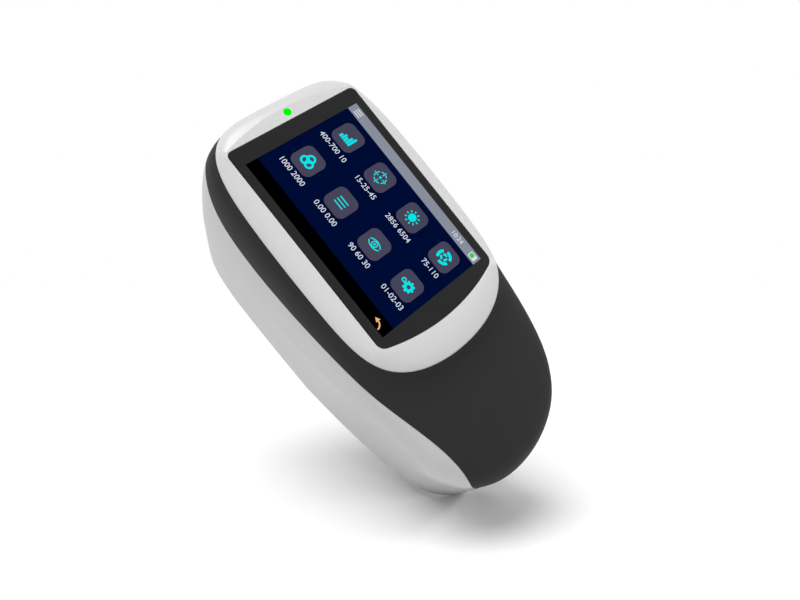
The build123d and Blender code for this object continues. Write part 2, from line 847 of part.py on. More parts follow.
lamp_ray = ray(lamp_angle)
receiver_rays = [ray(angle) for angle in receiver_angles]
with BuildPart() as optics_block:
    with BuildSketch(Plane.XZ):
        with Locations((aperture_along, 0)):
            Circle(optic_radius)
        with Locations((aperture_along, base_top - optic_radius)):
            Rectangle(2 * optic_radius, 2 * optic_radius, mode=Mode.SUBTRACT)
        with Locations((aperture_along + optic_front + optic_radius, 0)):
            Rectangle(2 * optic_radius, 2 * optic_radius, mode=Mode.SUBTRACT)
    extrude(amount=optic_half_width, both=True)
    with BuildSketch(Plane.XZ):
        with Locations((aperture_along, 0)):
            Circle(chamber_radius)
    extrude(amount=optic_half_width - chamber_wall, both=True, mode=Mode.SUBTRACT)
    with BuildSketch(Plane.XY.offset(base_top)):
        with Locations((aperture_along, 0)):
            Circle(ring_flange_radius + base_gap)
    extrude(amount=window_top - base_top, mode=Mode.SUBTRACT)
    with BuildSketch(lamp_ray, *receiver_rays):
        Circle(ray_radius)
    extrude(amount=2 * optic_radius, mode=Mode.SUBTRACT)
    with BuildSketch(*[plane.offset(lens_level) for plane in (lamp_ray, *receiver_rays)]):
        Circle(lens_radius + lens_gap)
    extrude(amount=optic_radius, mode=Mode.SUBTRACT)
    with BuildSketch(*[plane.offset(sensor_level) for plane in receiver_rays]):
        Circle(sensor_radius + lens_gap)
    extrude(amount=optic_radius, mode=Mode.SUBTRACT)
    with BuildSketch(lamp_ray.offset(sensor_level)):
        Circle(lamp_radius + lens_gap)
    extrude(amount=optic_radius, mode=Mode.SUBTRACT)
    with BuildSketch(Plane.XY.offset(base_top)):
        with Locations(*optic_screws_at):
            Circle(screw_hole)
    extrude(amount=optic_screw_bite + screw_tip_room, mode=Mode.SUBTRACT)
save(optics_block.part, "optics_block")
screws(standing(optic_screws_at, head_seat), base_top - head_seat + optic_screw_bite, "optics_screws")

with BuildPart() as aperture_ring:
    with BuildSketch(Plane(origin=(aperture_along, 0, 0), x_dir=(1, 0, 0), z_dir=(0, -1, 0))):
        with BuildLine():
            Polyline(
                (ring_mouth_radius, 0),
                (ring_radius, 0),
                (ring_radius, base_top),
                (ring_flange_radius, base_top),
                (ring_flange_radius, ring_top),
                (ring_radius - ring_wall, ring_top),
                (ring_radius - ring_wall, ring_lip + ring_bevel_height),
                (ring_mouth_radius, ring_lip),
                close=True,
            )
        make_face()
    revolve(axis=Axis((aperture_along, 0, 0), (0, 0, 1)))
save(aperture_ring.part, "aperture_ring")

with BuildPart() as aperture_gasket:
    with BuildSketch(Plane.XY.offset(edge_height + gasket_height)):
        with Locations((aperture_along, 0)):
            Circle(ring_radius + gasket_width)
            Circle(ring_radius, mode=Mode.SUBTRACT)
    extrude(amount=gasket_height)
save(aperture_gasket.part, "aperture_gasket")

with BuildPart() as aperture_window:
    with BuildSketch(Plane.XY.offset(ring_top)):
        with Locations((aperture_along, 0)):
            Circle(window_radius)
    extrude(amount=window_thickness)
save(aperture_window.part, "aperture_window")

with BuildPart() as lamp_module:
    with BuildSketch(lamp_ray.offset(sensor_level)):
        Circle(lamp_radius)
    extrude(amount=lamp_length)
    for count in range(lamp_fins):
        with BuildSketch(lamp_ray.offset(sensor_level + lamp_length - lamp_fin - count * lamp_fin_pitch)):
            Circle(lamp_fin_radius)
        extrude(amount=lamp_fin)
save(lamp_module.part, "lamp_module")

with BuildPart() as lamp_lens:
    with BuildSketch(lamp_ray.offset(lens_level)):
        Circle(lens_radius)
    extrude(amount=lens_thickness)
save(lamp_lens.part, "lamp_lens")

with BuildPart() as receiver_lenses:
    with BuildSketch(*[plane.offset(lens_level) for plane in receiver_rays]):
        Circle(lens_radius)
    extrude(amount=lens_thickness)
save(receiver_lenses.part, "receiver_lenses")

with BuildPart() as receiver_sensors:
    with BuildSketch(*[plane.offset(sensor_level) for plane in receiver_rays]):
        Circle(sensor_radius)
    extrude(amount=sensor_length)
save(receiver_sensors.part, "receiver_sensors")

with BuildPart() as sensor_boards:
    with BuildSketch(*[plane.offset(sensor_level + sensor_length) for plane in receiver_rays]):
        Rectangle(sensor_board_size, sensor_board_size)
    extrude(amount=sensor_board_thickness)
save(sensor_boards.part, "sensor_boards")
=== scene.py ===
import math

import bmesh
import bpy
from mathutils import Matrix, Vector


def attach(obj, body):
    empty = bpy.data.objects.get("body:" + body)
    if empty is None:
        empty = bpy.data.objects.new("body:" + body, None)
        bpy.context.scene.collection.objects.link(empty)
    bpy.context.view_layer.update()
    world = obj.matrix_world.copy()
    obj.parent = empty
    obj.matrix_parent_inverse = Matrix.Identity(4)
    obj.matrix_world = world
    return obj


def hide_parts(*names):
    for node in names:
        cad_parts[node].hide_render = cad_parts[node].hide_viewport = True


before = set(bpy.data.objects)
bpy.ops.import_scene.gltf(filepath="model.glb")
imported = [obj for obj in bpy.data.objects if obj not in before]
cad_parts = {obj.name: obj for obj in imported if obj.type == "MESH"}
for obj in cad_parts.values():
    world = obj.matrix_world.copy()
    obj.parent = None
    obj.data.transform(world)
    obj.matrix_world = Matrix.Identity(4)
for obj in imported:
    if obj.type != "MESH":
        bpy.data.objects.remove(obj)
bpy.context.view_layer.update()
mm = 0.001

# The display leans towards the nose, and what lies on it is placed by its own directions:
# along (towards the nose), across (towards the left side) and depth (below its face)
display = dict(tilt=5.0, origin=(-24.1, 0.0, 100.8))


def displayMatrix():
    tilt = math.radians(display["tilt"])
    along = Vector((math.cos(tilt), 0, -math.sin(tilt)))
    out = Vector((math.sin(tilt), 0, math.cos(tilt)))
    turn = Matrix((along, Vector((0, 1, 0)), out)).transposed().to_4x4()
    return Matrix.Translation(Vector(display["origin"]) * mm) @ turn


faceMatrix = displayMatrix()


def onFace(along, across, depth=0.0):
    return faceMatrix @ Vector((along * mm, across * mm, -depth * mm))


# Camera, at the photograph's viewing angle
cameraSet = dict(
    place=(24.7, -87.25, 268.3),  # mm
    forward=(-0.0986, 0.40635, -0.90838),
    up=(-0.75643, 0.56253, 0.33374),
    lens=24.76,
)


def makeCamera():
    data = bpy.data.cameras.new("camera")
    data.lens = cameraSet["lens"]
    data.sensor_width = 36.0
    data.clip_start = 0.01
    camera = bpy.data.objects.new("camera", data)
    bpy.context.scene.collection.objects.link(camera)
    back = -Vector(cameraSet["forward"]).normalized()
    up = Vector(cameraSet["up"]).normalized()
    right = up.cross(back).normalized()
    up = back.cross(right)
    turn = Matrix((right, up, back)).transposed().to_4x4()
    camera.matrix_world = Matrix.Translation(Vector(cameraSet["place"]) * mm) @ turn
    bpy.context.scene.camera = camera


makeCamera()
print("camera placed")

# Stage: a white floor that touches the tipped object's lowest point and is nearly level in the picture
floorSet = dict(lean=2.6, size=6000.0, grey=0.95, lift=0.06)


def newMaterial(name):
    material = bpy.data.materials.new(name)
    material.use_nodes = True
    tree = material.node_tree
    tree.nodes.clear()
    return material, tree


def seenDirectly(tree):
    # 1 for rays from the camera, from gloss and through glass
    path = tree.nodes.new("ShaderNodeLightPath")
    first = tree.nodes.new("ShaderNodeMath")
    both = tree.nodes.new("ShaderNodeMath")
    first.operation = both.operation = "MAXIMUM"
    tree.links.new(path.outputs["Is Camera Ray"], first.inputs[0])
    tree.links.new(path.outputs["Is Glossy Ray"], first.inputs[1])
    tree.links.new(first.outputs["Value"], both.inputs[0])
    tree.links.new(path.outputs["Is Transmission Ray"], both.inputs[1])
    return both.outputs["Value"]


def makeStage():
    up = Vector(cameraSet["up"]).normalized()
    forward = Vector(cameraSet["forward"]).normalized()
    lean = math.radians(floorSet["lean"])
    normal = (up * math.cos(lean) - forward * math.sin(lean)).normalized()
    size = floorSet["size"] * mm
    mesh = bpy.data.meshes.new("floor")
    corners = [(-size, -size, 0), (size, -size, 0), (size, size, 0), (-size, size, 0)]
    mesh.from_pydata(corners, [], [(0, 1, 2, 3)])
    floor = bpy.data.objects.new("floor", mesh)
    bpy.context.scene.collection.objects.link(floor)
    shells = [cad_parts[name].data for name in ("main_housing", "side_panel_left", "side_panel_right")]
    lowest = min((vertex.co for shell in shells for vertex in shell.vertices), key=normal.dot)
    place = Matrix.Translation(lowest)
    floor.matrix_world = place @ normal.to_track_quat("Z", "Y").to_matrix().to_4x4()
    material, tree = newMaterial("floorWhite")
    nodes, links = tree.nodes, tree.links
    matt = nodes.new("ShaderNodeBsdfDiffuse")
    matt.inputs["Color"].default_value = (floorSet["grey"],) * 3 + (1,)
    glow = nodes.new("ShaderNodeEmission")
    strength = nodes.new("ShaderNodeMath")
    strength.operation = "MULTIPLY"
    strength.inputs[1].default_value = floorSet["lift"]
    links.new(seenDirectly(tree), strength.inputs[0])
    links.new(strength.outputs["Value"], glow.inputs["Strength"])
    both = nodes.new("ShaderNodeAddShader")
    links.new(matt.outputs["BSDF"], both.inputs[0])
    links.new(glow.outputs["Emission"], both.inputs[1])
    clear = nodes.new("ShaderNodeBsdfTransparent")
    geometry = nodes.new("ShaderNodeNewGeometry")
    mix = nodes.new("ShaderNodeMixShader")
    output = nodes.new("ShaderNodeOutputMaterial")
    links.new(geometry.outputs["Backfacing"], mix.inputs["Fac"])
    links.new(both.outputs["Shader"], mix.inputs[1])
    links.new(clear.outputs["BSDF"], mix.inputs[2])
    links.new(mix.outputs["Shader"], output.inputs["Surface"])
    mesh.materials.append(material)
    return normal


floorNormal = makeStage()

lightSet = dict(world=0.37, sun=2.45, sunSize=36.0, sunLeft=-0.36, sunBack=0.6)
# A soft strip lamp at the right, low beside the nose
stripSet = dict(aim=(20, 0, 80), right=0.42, up=0.22, near=0.02, energy=0.5, width=0.06, height=0.5)


def makeLights():
    world = bpy.data.worlds.new("studio")
    bpy.context.scene.world = world
    world.use_nodes = True
    tree = world.node_tree
    tree.nodes.clear()
    nodes, links = tree.nodes, tree.links
    output = nodes.new("ShaderNodeOutputWorld")
    mix = nodes.new("ShaderNodeMixShader")
    fill = nodes.new("ShaderNodeBackground")
    seen = nodes.new("ShaderNodeBackground")
    fill.inputs["Color"].default_value = (1, 1, 1, 1)
    fill.inputs["Strength"].default_value = lightSet["world"]
    seen.inputs["Color"].default_value = (1, 1, 1, 1)
    seen.inputs["Strength"].default_value = 1.0
    links.new(seenDirectly(tree), mix.inputs["Fac"])
    links.new(fill.outputs["Background"], mix.inputs[1])
    links.new(seen.outputs["Background"], mix.inputs[2])
    links.new(mix.outputs["Shader"], output.inputs["Surface"])
    data = bpy.data.lights.new("key", "SUN")
    data.energy = lightSet["sun"]
    data.angle = math.radians(lightSet["sunSize"])
    key = bpy.data.objects.new("key", data)
    bpy.context.scene.collection.objects.link(key)
    forward = Vector(cameraSet["forward"]).normalized()
    right = forward.cross(Vector(cameraSet["up"])).normalized()
    towards = floorNormal + right * lightSet["sunLeft"] - forward * lightSet["sunBack"]
    key.rotation_mode = "QUATERNION"
    key.rotation_quaternion = towards.normalized().to_track_quat("Z", "Y")
    data = bpy.data.lights.new("strip", "AREA")
    data.energy = stripSet["energy"]
    data.shape = "RECTANGLE"
    data.size, data.size_y = stripSet["width"], stripSet["height"]
    strip = bpy.data.objects.new("strip", data)
    bpy.context.scene.collection.objects.link(strip)
    away = right * stripSet["right"] + floorNormal * stripSet["up"] - forward * stripSet["near"]
    strip.location = Vector(stripSet["aim"]) * mm + away
    strip.rotation_mode = "QUATERNION"
    strip.rotation_quaternion = away.normalized().to_track_quat("Z", "Y")


makeLights()
bpy.context.scene.view_settings.view_transform = "Standard"
print("stage and lights ready")


# Materials. One group gives every moulded or cast surface its fine grain, and another gives
# brushed and worn metal its streaks
def newGroup(name, inputs, outputs):
    group = bpy.data.node_groups.new(name, "ShaderNodeTree")
    for label, kind, value in inputs:
        socket = group.interface.new_socket(name=label, in_out="INPUT", socket_type=kind)
        socket.default_value = value
    for label, kind in outputs:
        group.interface.new_socket(name=label, in_out="OUTPUT", socket_type=kind)
    return group, group.nodes.new("NodeGroupInput"), group.nodes.new("NodeGroupOutput")


def noiseIn(group, vector, scale, detail):
    noise = group.nodes.new("ShaderNodeTexNoise")
    noise.inputs["Detail"].default_value = detail
    group.links.new(vector, noise.inputs["Vector"])
    if isinstance(scale, (int, float)):
        noise.inputs["Scale"].default_value = scale
    else:
        group.links.new(scale, noise.inputs["Scale"])
    return noise.outputs["Fac"]


def spread(group, mask, middle, amount):
    # middle + (mask - 0.5) * amount
    centre = group.nodes.new("ShaderNodeMath")
    centre.operation = "SUBTRACT"
    group.links.new(mask, centre.inputs[0])
    centre.inputs[1].default_value = 0.5
    scaled = group.nodes.new("ShaderNodeMath")
    scaled.operation = "MULTIPLY_ADD"
    group.links.new(centre.outputs["Value"], scaled.inputs[0])
    group.links.new(amount, scaled.inputs[1])
    group.links.new(middle, scaled.inputs[2])
    return scaled.outputs["Value"]


def finishGroup(group, into, out, shadeMask, fineMask):
    # Colour follows one mask, and roughness and height follow the finer one
    one = group.nodes.new("ShaderNodeValue")
    one.outputs["Value"].default_value = 1.0
    shade = spread(group, shadeMask, one.outputs["Value"], into.outputs["Shade Spread"])
    tint = group.nodes.new("ShaderNodeVectorMath")
    tint.operation = "SCALE"
    group.links.new(into.outputs["Color"], tint.inputs[0])
    group.links.new(shade, tint.inputs["Scale"])
    group.links.new(tint.outputs["Vector"], out.inputs["Color"])
    rough = spread(group, fineMask, into.outputs["Roughness"], into.outputs["Roughness Spread"])
    group.links.new(rough, out.inputs["Roughness"])
    group.links.new(fineMask, out.inputs["Height"])
    return group


def groupSockets(scaleName, scale, grey, shade, rough, roughSpread):
    number, color = "NodeSocketFloat", "NodeSocketColor"
    inputs = [
        ("Color", color, (grey, grey, grey, 1)),
        ("Shade Spread", number, shade),
        ("Roughness", number, rough),
        ("Roughness Spread", number, roughSpread),
        (scaleName, number, scale),
    ]
    return inputs, [("Color", color), ("Roughness", number), ("Height", number)]


# Noise of the two groups: fine grain and wide clouds, and streaks drawn out along X
grainSet = dict(detail=3.0, cloudScale=60.0, cloudDetail=2.0, streakDetail=4.0, stretch=(0.06, 1.0, 1.0))


def makeMouldedGroup():
    group, into, out = newGroup("mouldedGrain", *groupSockets("Grain Scale", 2500.0, 0.5, 0.04, 0.4, 0.08))
    place = group.nodes.new("ShaderNodeTexCoord").outputs["Object"]
    grain = noiseIn(group, place, into.outputs["Grain Scale"], grainSet["detail"])
    cloud = noiseIn(group, place, grainSet["cloudScale"], grainSet["cloudDetail"])
    return finishGroup(group, into, out, cloud, grain)


def makeBrushedGroup():
    group, into, out = newGroup("brushedStreaks", *groupSockets("Streak Scale", 900.0, 0.6, 0.2, 0.3, 0.2))
    place = group.nodes.new("ShaderNodeTexCoord").outputs["Object"]
    drawn = group.nodes.new("ShaderNodeMapping")
    drawn.inputs["Scale"].default_value = grainSet["stretch"]
    group.links.new(place, drawn.inputs["Vector"])
    streak = noiseIn(group, drawn.outputs["Vector"], into.outputs["Streak Scale"], grainSet["streakDetail"])
    return finishGroup(group, into, out, streak, streak)


mouldedGrain = makeMouldedGroup()
brushedStreaks = makeBrushedGroup()


def finish(name, look):
    # One finish from its dictionary of values
    material, tree = newMaterial(name)
    nodes, links = tree.nodes, tree.links
    shader = nodes.new("ShaderNodeBsdfPrincipled")
    output = nodes.new("ShaderNodeOutputMaterial")
    links.new(shader.outputs["BSDF"], output.inputs["Surface"])
    surface = nodes.new("ShaderNodeGroup")
    surface.node_tree = brushedStreaks if look.get("brushed") else mouldedGrain
    surface.inputs["Color"].default_value = tuple(look["color"]) + (1,)
    surface.inputs["Shade Spread"].default_value = look.get("shade", 0.04)
    surface.inputs["Roughness"].default_value = look["rough"]
    surface.inputs["Roughness Spread"].default_value = look.get("roughSpread", 0.08)
    surface.inputs["Streak Scale" if look.get("brushed") else "Grain Scale"].default_value = look["scale"]
    links.new(surface.outputs["Color"], shader.inputs["Base Color"])
    links.new(surface.outputs["Roughness"], shader.inputs["Roughness"])
    bump = nodes.new("ShaderNodeBump")
    bump.inputs["Strength"].default_value = look.get("bump", 0.2)
    bump.inputs["Distance"].default_value = look.get("bumpHeight", 0.02) * mm
    links.new(surface.outputs["Height"], bump.inputs["Height"])
    links.new(bump.outputs["Normal"], shader.inputs["Normal"])
    shader.inputs["Metallic"].default_value = look.get("metal", 0.0)
    shader.inputs["Specular IOR Level"].default_value = look.get("gloss", 0.5)
    shader.inputs["IOR"].default_value = look.get("ior", 1.5)
    shader.inputs["Transmission Weight"].default_value = look.get("clear", 0.0)
    if "glow" in look:
        shader.inputs["Emission Color"].default_value = tuple(look["light"]) + (1,)
        shader.inputs["Emission Strength"].default_value = look["glow"]
    return material


looks = dict(
    housing=dict(
        color=(0.026, 0.026, 0.027), rough=0.56, scale=2600, gloss=0.09, ior=1.35, bump=0.25, shade=0.1
    ),
    panel=dict(color=(0.49, 0.49, 0.495), rough=0.38, scale=2600, gloss=0.4, bump=0.15),
    bezel=dict(color=(0.6, 0.6, 0.605), rough=0.3, scale=2600, gloss=0.4, bump=0.08, shade=0.02),
    cover_glass=dict(
        color=(0.016, 0.016, 0.0165), rough=0.16, scale=400, gloss=0.09, bump=0.0, roughSpread=0.02
    ),
    indicator=dict(
        color=(0.0, 0.1, 0.0), light=(0.0, 0.85, 0.0), glow=1.0, rough=0.3, scale=900, shade=0.2, gloss=0.0
    ),
    key=dict(color=(0.03, 0.03, 0.032), rough=0.42, scale=1800, gloss=0.4, bump=0.2, shade=0.1),
    base=dict(color=(0.03, 0.03, 0.031), rough=0.55, scale=1500, gloss=0.4, bump=0.4, shade=0.1),
    foot_rubber=dict(color=(0.012, 0.012, 0.012), rough=0.8, scale=1200, gloss=0.3, bump=0.5, shade=0.3),
    gasket=dict(color=(0.02, 0.02, 0.02), rough=0.75, scale=1400, gloss=0.3, bump=0.4, shade=0.3),
    adhesive=dict(color=(0.015, 0.015, 0.015), rough=0.9, scale=1600, gloss=0.2, bump=0.3),
    foam=dict(
        color=(0.06, 0.06, 0.065), rough=0.95, scale=1800, gloss=0.1, bump=1.0, bumpHeight=0.2, shade=0.5
    ),
    display=dict(color=(0.05, 0.05, 0.055), rough=0.3, scale=700, gloss=0.5, brushed=True, metal=0.6),
    ribbon=dict(color=(0.5, 0.2, 0.03), rough=0.35, scale=500, gloss=0.5, bump=0.1, shade=0.2),
    board=dict(color=(0.01, 0.12, 0.05), rough=0.35, scale=600, gloss=0.5, bump=0.3, shade=0.4),
    chip=dict(color=(0.02, 0.02, 0.022), rough=0.6, scale=2200, gloss=0.4, bump=0.3, shade=0.3),
    port=dict(color=(0.62, 0.62, 0.63), rough=0.3, scale=900, metal=1.0, brushed=True),
    switch=dict(color=(0.03, 0.03, 0.03), rough=0.5, scale=1800, gloss=0.4, bump=0.2),
    battery=dict(color=(0.05, 0.13, 0.3), rough=0.32, scale=160, gloss=0.5, bump=0.3, shade=0.15),
    sheet_metal=dict(color=(0.6, 0.61, 0.62), rough=0.32, scale=700, metal=1.0, brushed=True, shade=0.3),
    screw=dict(color=(0.2, 0.2, 0.21), rough=0.35, scale=1500, metal=1.0, brushed=True, shade=0.3),
    optics_metal=dict(color=(0.025, 0.025, 0.028), rough=0.45, scale=1400, metal=0.7, brushed=True),
    ring=dict(color=(0.55, 0.56, 0.57), rough=0.28, scale=1100, metal=1.0, brushed=True, shade=0.2),
    clear_glass=dict(color=(0.97, 0.98, 0.98), rough=0.03, scale=300, clear=1.0, roughSpread=0.02, bump=0.0),
    sensor_can=dict(color=(0.6, 0.57, 0.5), rough=0.3, scale=1200, metal=1.0, brushed=True, shade=0.2),
)
finishes = {name: finish(name, look) for name, look in looks.items()}
print("finishes ready")


# Outlines in the display's plane, in millimetres
rim = dict(halfWidth=34.9, tail=53.6, nose=57.12, tailPower=5.0, nosePower=6.186, bow=0.06)
glassSet = dict(
    rear=-43.0, frontCorner=39.5, frontMiddle=44.7, halfWidth=27.7, rearRadius=2.0, frontRadius=3.5, gap=0.15
)
lcdSet = dict(rear=-41.3, front=38.3, halfWidth=26.7)


def rimSize(along, across):
    # 1 on the bezel's rim, less inside it
    if along < 0:
        share = min(-along / rim["tail"], 1.0)
        power = rim["tailPower"]
        side = abs(across) / (rim["halfWidth"] * (1 - rim["bow"] * share**2))
        return (share**power + side**power) ** (1 / power)
    share = along / rim["nose"]
    side = abs(across) / (rim["halfWidth"] * (1 - rim["bow"] * min(share, 1.0) ** 2))
    return math.sqrt(share ** rim["nosePower"] + side**2)


def rimAlong(direction):
    # Distance to the rim from the display's centre
    low, high = 20.0, 80.0
    for _ in range(40):
        middle = (low + high) / 2
        inside = rimSize(middle * direction[0], middle * direction[1]) < 1
        low, high = (middle, high) if inside else (low, middle)
    return low


def arcPoints(centre, radius, start, end, steps):
    points = []
    for step in range(steps + 1):
        angle = math.radians(start + (end - start) * step / steps)
        points.append((centre[0] + radius * math.cos(angle), centre[1] + radius * math.sin(angle)))
    return points


def glassOutline(gap):
    # The cover glass and its pocket: straight at the rear and sides, bowed towards the nose
    half = glassSet["halfWidth"] + gap
    rear = glassSet["rear"] - gap
    corner = glassSet["frontCorner"] + gap
    middle = glassSet["frontMiddle"] + gap
    rise = middle - corner
    bowRadius = (half**2 + rise**2) / (2 * rise)
    bowCentre = middle - bowRadius
    rearRadius = glassSet["rearRadius"] + gap
    frontRadius = glassSet["frontRadius"] + gap
    turnAcross = half - frontRadius
    turnAlong = bowCentre + math.sqrt((bowRadius - frontRadius) ** 2 - turnAcross**2)
    bowEnd = math.degrees(math.atan2(turnAcross, turnAlong - bowCentre))
    points = arcPoints((bowCentre, 0), bowRadius, -bowEnd, bowEnd, 44)
    points += arcPoints((turnAlong, turnAcross), frontRadius, bowEnd, 90, 8)
    sideSteps, rearSteps = 34, 26
    sideEnd = rear + rearRadius
    for step in range(1, sideSteps):
        points.append((turnAlong + (sideEnd - turnAlong) * step / sideSteps, half))
    points += arcPoints((sideEnd, half - rearRadius), rearRadius, 90, 180, 8)
    for step in range(1, rearSteps):
        points.append((rear, (half - rearRadius) * (1 - 2 * step / rearSteps)))
    points += arcPoints((sideEnd, rearRadius - half), rearRadius, 180, 270, 8)
    for step in range(1, sideSteps):
        points.append((sideEnd + (turnAlong - sideEnd) * step / sideSteps, -half))
    points += arcPoints((turnAlong, -turnAcross), frontRadius, 270, 360 - bowEnd, 8)
    kept = []
    for point in points:
        if not kept or math.dist(point, kept[-1]) > 0.01:
            kept.append(point)
    return kept if math.dist(kept[0], kept[-1]) > 0.01 else kept[:-1]


def addPiece(name, mesh, body, material):
    piece = bpy.data.objects.new(name, mesh)
    bpy.context.scene.collection.objects.link(piece)
    mesh.materials.append(material)
    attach(piece, body)
    return piece


def sharpen(mesh, angle):
    # Smooth shading, with edges kept sharp where two faces meet at more than this angle
    shape = bmesh.new()
    shape.from_mesh(mesh)
    bmesh.ops.recalc_face_normals(shape, faces=shape.faces)
    for face in shape.faces:
        face.smooth = True
    for edge in shape.edges:
        if len(edge.link_faces) == 2 and edge.calc_face_angle(0) > math.radians(angle):
            edge.smooth = False
    shape.to_mesh(mesh)
    shape.free()


# Top bezel: a rounded rim, and behind the glass a flat land that ends at an arc
bezelSet = dict(
    height=5.4,
    roundness=72.0,  # degrees of the rim's quarter turn that is used
    rimSteps=12,
    landMiddle=-48.1,
    landCorner=-43.4,
    landMargin=0.3,
    edge=0.12,
    pocketDepth=1.1,
    weld=0.004,
    creaseAngle=30,
    crispSlack=1e-6,  # metres, like the next two
    crispBehind=0.0001,
    crispLength=0.0002,
)


def landAlong(direction, least):
    # Distance from the display's centre to the edge of the flat land
    rise = bezelSet["landCorner"] - bezelSet["landMiddle"]
    half = glassSet["halfWidth"]
    radius = (half**2 + rise**2) / (2 * rise)
    centre = bezelSet["landMiddle"] + radius
    if direction[0] > 0:
        return least
    towards = direction[0] * centre
    reach = towards + math.sqrt(towards**2 - centre**2 + radius**2)
    return max(reach, least) if reach * abs(direction[1]) < half else least


def makeBezel():
    pocket = glassOutline(glassSet["gap"])
    roundness = math.radians(bezelSet["roundness"])
    height, steps = bezelSet["height"], bezelSet["rimSteps"]
    rows = []
    landRow, rimRow = [], []
    for along, across in pocket:
        length = math.hypot(along, across)
        direction = (along / length, across / length)
        land = landAlong(direction, length + bezelSet["landMargin"])
        landRow.append((direction, land))
        rimRow.append(rimAlong(direction))
    for step in range(steps + 1):
        angle = roundness * step / steps
        share = (1 - math.cos(angle)) / (1 - math.cos(roundness))
        depth = height * (1 - math.sin(angle) / math.sin(roundness))
        row = []
        for (direction, land), edge in zip(landRow, rimRow):
            reach = edge + (land - edge) * share
            row.append((direction[0] * reach, direction[1] * reach, depth))
        rows.append(row)
    edge = bezelSet["edge"]
    grown = glassOutline(glassSet["gap"] + edge)
    rows.append([(x, y, 0.0) for x, y in grown])
    rows.append([(x, y, edge) for x, y in pocket])
    rows.append([(x, y, bezelSet["pocketDepth"]) for x, y in pocket])
    ledge = []
    for x, y in pocket:
        inner = max(-lcdSet["halfWidth"], min(y, lcdSet["halfWidth"]))
        ledge.append((min(max(x, lcdSet["rear"]), lcdSet["front"]), inner))
    rows.append([(x, y, bezelSet["pocketDepth"]) for x, y in ledge])
    rows.append([(x, y, height) for x, y in ledge])
    count = len(pocket)
    points = [onFace(*point) for row in rows for point in row]
    faces = []
    for row in range(len(rows)):
        under = (row + 1) % len(rows)
        for column in range(count):
            after = (column + 1) % count
            here, below = row * count, under * count
            faces.append((here + column, here + after, below + after, below + column))
    mesh = bpy.data.meshes.new("bezelShell")
    mesh.from_pydata(points, [], faces)
    shape = bmesh.new()
    shape.from_mesh(mesh)
    bmesh.ops.remove_doubles(shape, verts=shape.verts, dist=bezelSet["weld"] * mm)
    shape.to_mesh(mesh)
    shape.free()
    sharpen(mesh, bezelSet["creaseAngle"])
    # The land's edge stays crisp where the land is wide
    for edge in mesh.edges:
        ends = [faceMatrix.inverted() @ mesh.vertices[index].co for index in edge.vertices]
        flat = all(abs(end.z) < bezelSet["crispSlack"] for end in ends)
        behind = all(end.x < glassSet["rear"] * mm - bezelSet["crispBehind"] for end in ends)
        if flat and behind and abs(ends[0].y - ends[1].y) > bezelSet["crispLength"]:
            edge.use_edge_sharp = True
    return mesh


bezelShell = addPiece("bezelShell", makeBezel(), "body", finishes["bezel"])
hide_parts("top_bezel")

# The indicator stands a little proud of the land, as a low dome
domeSet = dict(
    steps=40,
    topBand=0.05,
    creaseAngle=50,
    # share of the radius, and depth below the land
    profile=((1.0, 1.2), (1.0, 0.05), (0.96, -0.02), (0.84, -0.1), (0.6, -0.18), (0.3, -0.22)),
)


def makeDome():
    corners = [faceMatrix.inverted() @ vertex.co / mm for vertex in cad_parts["led_lens"].data.vertices]
    highest = max(corner.z for corner in corners)
    top = [corner for corner in corners if corner.z > highest - domeSet["topBand"]]
    low = [min(corner[axis] for corner in top) for axis in (0, 1)]
    high = [max(corner[axis] for corner in top) for axis in (0, 1)]
    centre = [(least + most) / 2 for least, most in zip(low, high)]
    radius = (high[0] - low[0]) / 2
    shape = bmesh.new()
    rows = []
    for share, depth in domeSet["profile"]:
        row = []
        for step in range(domeSet["steps"]):
            turn = math.tau * step / domeSet["steps"]
            across = centre[1] + share * radius * math.sin(turn)
            row.append(shape.verts.new(onFace(centre[0] + share * radius * math.cos(turn), across, depth)))
        rows.append(row)
    for upper, lower in zip(rows, rows[1:]):
        for step in range(domeSet["steps"]):
            after = (step + 1) % domeSet["steps"]
            shape.faces.new((upper[step], upper[after], lower[after], lower[step]))
    shape.faces.new(rows[0])
    shape.faces.new(rows[-1])
    mesh = bpy.data.meshes.new("indicatorDome")
    shape.to_mesh(mesh)
    shape.free()
    sharpen(mesh, domeSet["creaseAngle"])
    return mesh


indicatorDome = addPiece("indicatorDome", makeDome(), "body", finishes["indicator"])
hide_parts("led_lens")
print("bezel made")


# The far side panel stops lower along the nose than the near one, where the photograph shows only the
# dark housing: a slanting plane parts the panel's solid into the pale panel and a dark shoulder
shoulderCut = dict(facing=(0.2539, -0.1564, 0.9545), reach=80.6, weld=0.001, creaseAngle=30)


def partPanel(name, upper):
    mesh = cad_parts["side_panel_left"].data.copy()
    mesh.name = name
    mesh.materials.clear()
    facing = Vector(shoulderCut["facing"]).normalized()
    shape = bmesh.new()
    shape.from_mesh(mesh)
    bmesh.ops.remove_doubles(shape, verts=shape.verts, dist=shoulderCut["weld"] * mm)
    everything = list(shape.verts) + list(shape.edges) + list(shape.faces)
    place = facing * shoulderCut["reach"] * mm
    cut = bmesh.ops.bisect_plane(
        shape, geom=everything, plane_co=place, plane_no=facing, clear_inner=upper, clear_outer=not upper
    )
    openEdges = [item for item in cut["geom_cut"] if isinstance(item, bmesh.types.BMEdge)]
    bmesh.ops.triangle_fill(shape, edges=openEdges, use_beauty=True)
    shape.to_mesh(mesh)
    shape.free()
    if "custom_normal" in mesh.attributes:
        mesh.attributes.remove(mesh.attributes["custom_normal"])
    sharpen(mesh, shoulderCut["creaseAngle"])
    return mesh


panelLeft = addPiece("panelLeft", partPanel("panelLeft", False), "body", finishes["panel"])
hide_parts("side_panel_left")
addPiece("noseShoulder", partPanel("noseShoulder", True), "body", finishes["housing"])
print("far panel parted")


